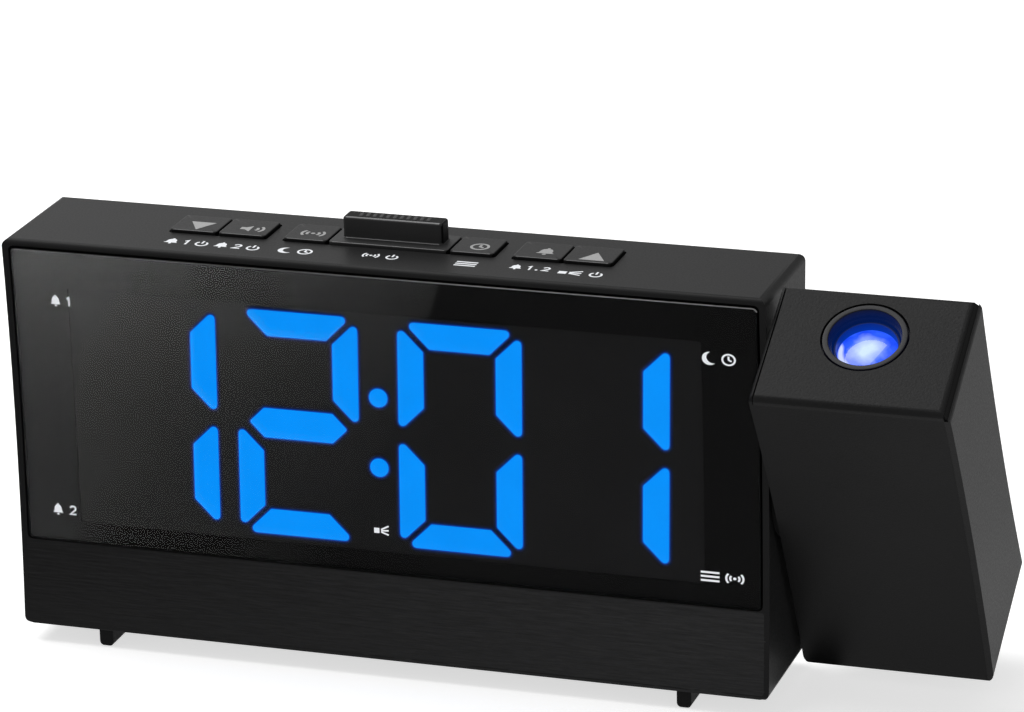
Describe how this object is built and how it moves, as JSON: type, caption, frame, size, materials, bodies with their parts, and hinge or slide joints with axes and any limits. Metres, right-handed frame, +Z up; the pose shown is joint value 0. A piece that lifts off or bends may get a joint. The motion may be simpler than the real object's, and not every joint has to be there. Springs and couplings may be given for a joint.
{
  "type": "projection alarm clock",
  "caption": "Wide LED alarm clock with a curved front window, top keys and a snooze bar, and a projector head that swivels at its right end.",
  "frame": {"origin": "on the table, below the middle of the whole clock in the rest pose", "axes": "+X right along the display towards the projector head, +Y to the back, +Z up"},
  "size_m": [0.2181, 0.0706, 0.1008],
  "materials": {
    "case_plastic": "fine matte grain",
    "band_plastic": "embossed horizontal grain",
    "key_plastic": "matte",
    "ring_plastic": "satin",
    "tinted_window": "gloss",
    "black_print": "printed",
    "display_grey": "matte",
    "lit_blue": "glowing",
    "circuit_board": "solder mask",
    "chip_black": "moulded",
    "led_resin": "resin",
    "steel": "plated",
    "nickel": "nickel plate",
    "soft_black": "matte",
    "cell_jacket": "jacket",
    "lens_glass": "clear"
  },
  "bodies": {
    "case": {"front_case": "case_plastic", "front_window": "tinted_window", "window_mask": "black_print", "front_band": "band_plastic", "rear_cover": "case_plastic", "foot_left": "soft_black", "foot_right": "soft_black", "display_housing": "display_grey", "lit_segments": "lit_blue", "unlit_segments": "display_grey", "display_pcb": "circuit_board", "display_leds": "led_resin", "main_pcb": "circuit_board", "main_chips": "chip_black", "capacitors": "chip_black", "crystal": "nickel", "button_pcb": "circuit_board", "tact_switches": "nickel", "speaker_frame": "steel", "speaker_magnet": "steel", "speaker_cone": "soft_black", "dc_jack": "chip_black", "usb_port": "nickel", "antenna_grommet": "soft_black", "battery_tray": "chip_black", "battery_cells": "cell_jacket", "battery_contacts": "steel", "case_screws": "steel", "board_screws": "steel", "speaker_screws": "steel", "swivel_washer": "soft_black", "wave_washer": "steel", "lead_case": "soft_black"},
    "projector_head": {"projector_shell": "case_plastic", "projector_side_cover": "case_plastic", "projector_top_plate": "case_plastic", "hinge_shaft": "steel", "hinge_retainer": "steel", "projector_screws": "steel", "lamp_house": "chip_black", "projector_pcb": "circuit_board", "projector_led": "lit_blue", "condenser_lens": "lens_glass", "lcd_slide": "display_grey", "lead_projector": "soft_black"},
    "focus_ring": {"focus_ring": "ring_plastic"},
    "lens_barrel": {"lens_barrel": "ring_plastic", "projection_lens": "lens_glass"},
    "battery_door": {"battery_door": "case_plastic"},
    "button_down": {"button_down": "key_plastic"},
    "button_volume": {"button_volume": "key_plastic"},
    "button_radio": {"button_radio": "key_plastic"},
    "snooze_bar": {"snooze_bar": "key_plastic"},
    "button_time": {"button_time": "key_plastic"},
    "button_alarm": {"button_alarm": "key_plastic"},
    "button_up": {"button_up": "key_plastic"}
  },
  "joints": [
    {"name": "head_swivel", "type": "hinge", "parent": "case", "child": "projector_head", "pos_m": [0.0657, 0, 0.0495], "axis": [1, 0, 0], "range_deg": [-119.4, 60.6]},
    {"name": "focus_turn", "type": "hinge", "parent": "projector_head", "child": "focus_ring", "pos_m": [0.08705, 0.00287, 0.05112], "axis": [0, -0.4909, 0.8712], "range_deg": [-135, 135]},
    {"name": "barrel_travel", "type": "slide", "parent": "projector_head", "child": "lens_barrel", "axis": [0, -0.4909, 0.8712], "range_m": [-0.00195, 0.00195]},
    {"name": "down_press", "type": "slide", "parent": "case", "child": "button_down", "axis": [0, 0, -1], "range_m": [0, 0.0005], "stiffness_N_per_m": 450, "springref_m": -0.0006},
    {"name": "volume_press", "type": "slide", "parent": "case", "child": "button_volume", "axis": [0, 0, -1], "range_m": [0, 0.0005], "stiffness_N_per_m": 450, "springref_m": -0.0006},
    {"name": "radio_press", "type": "slide", "parent": "case", "child": "button_radio", "axis": [0, 0, -1], "range_m": [0, 0.0005], "stiffness_N_per_m": 450, "springref_m": -0.0006},
    {"name": "snooze_press", "type": "slide", "parent": "case", "child": "snooze_bar", "axis": [0, 0, -1], "range_m": [0, 0.0005], "stiffness_N_per_m": 700, "springref_m": -0.0006},
    {"name": "time_press", "type": "slide", "parent": "case", "child": "button_time", "axis": [0, 0, -1], "range_m": [0, 0.0005], "stiffness_N_per_m": 450, "springref_m": -0.0006},
    {"name": "alarm_press", "type": "slide", "parent": "case", "child": "button_alarm", "axis": [0, 0, -1], "range_m": [0, 0.0005], "stiffness_N_per_m": 450, "springref_m": -0.0006},
    {"name": "up_press", "type": "slide", "parent": "case", "child": "button_up", "axis": [0, 0, -1], "range_m": [0, 0.0005], "stiffness_N_per_m": 450, "springref_m": -0.0006},
    {"name": "battery_door_turn", "type": "hinge", "parent": "case", "child": "battery_door", "pos_m": [0.01355, 0.01466, 0.013], "axis": [-1, 0, 0], "range_deg": [0, 90]}
  ],
  "couplings": [
    {"joint": "focus_turn", "follows": "barrel_travel", "rad_per_m": 1190.5}
  ]
}
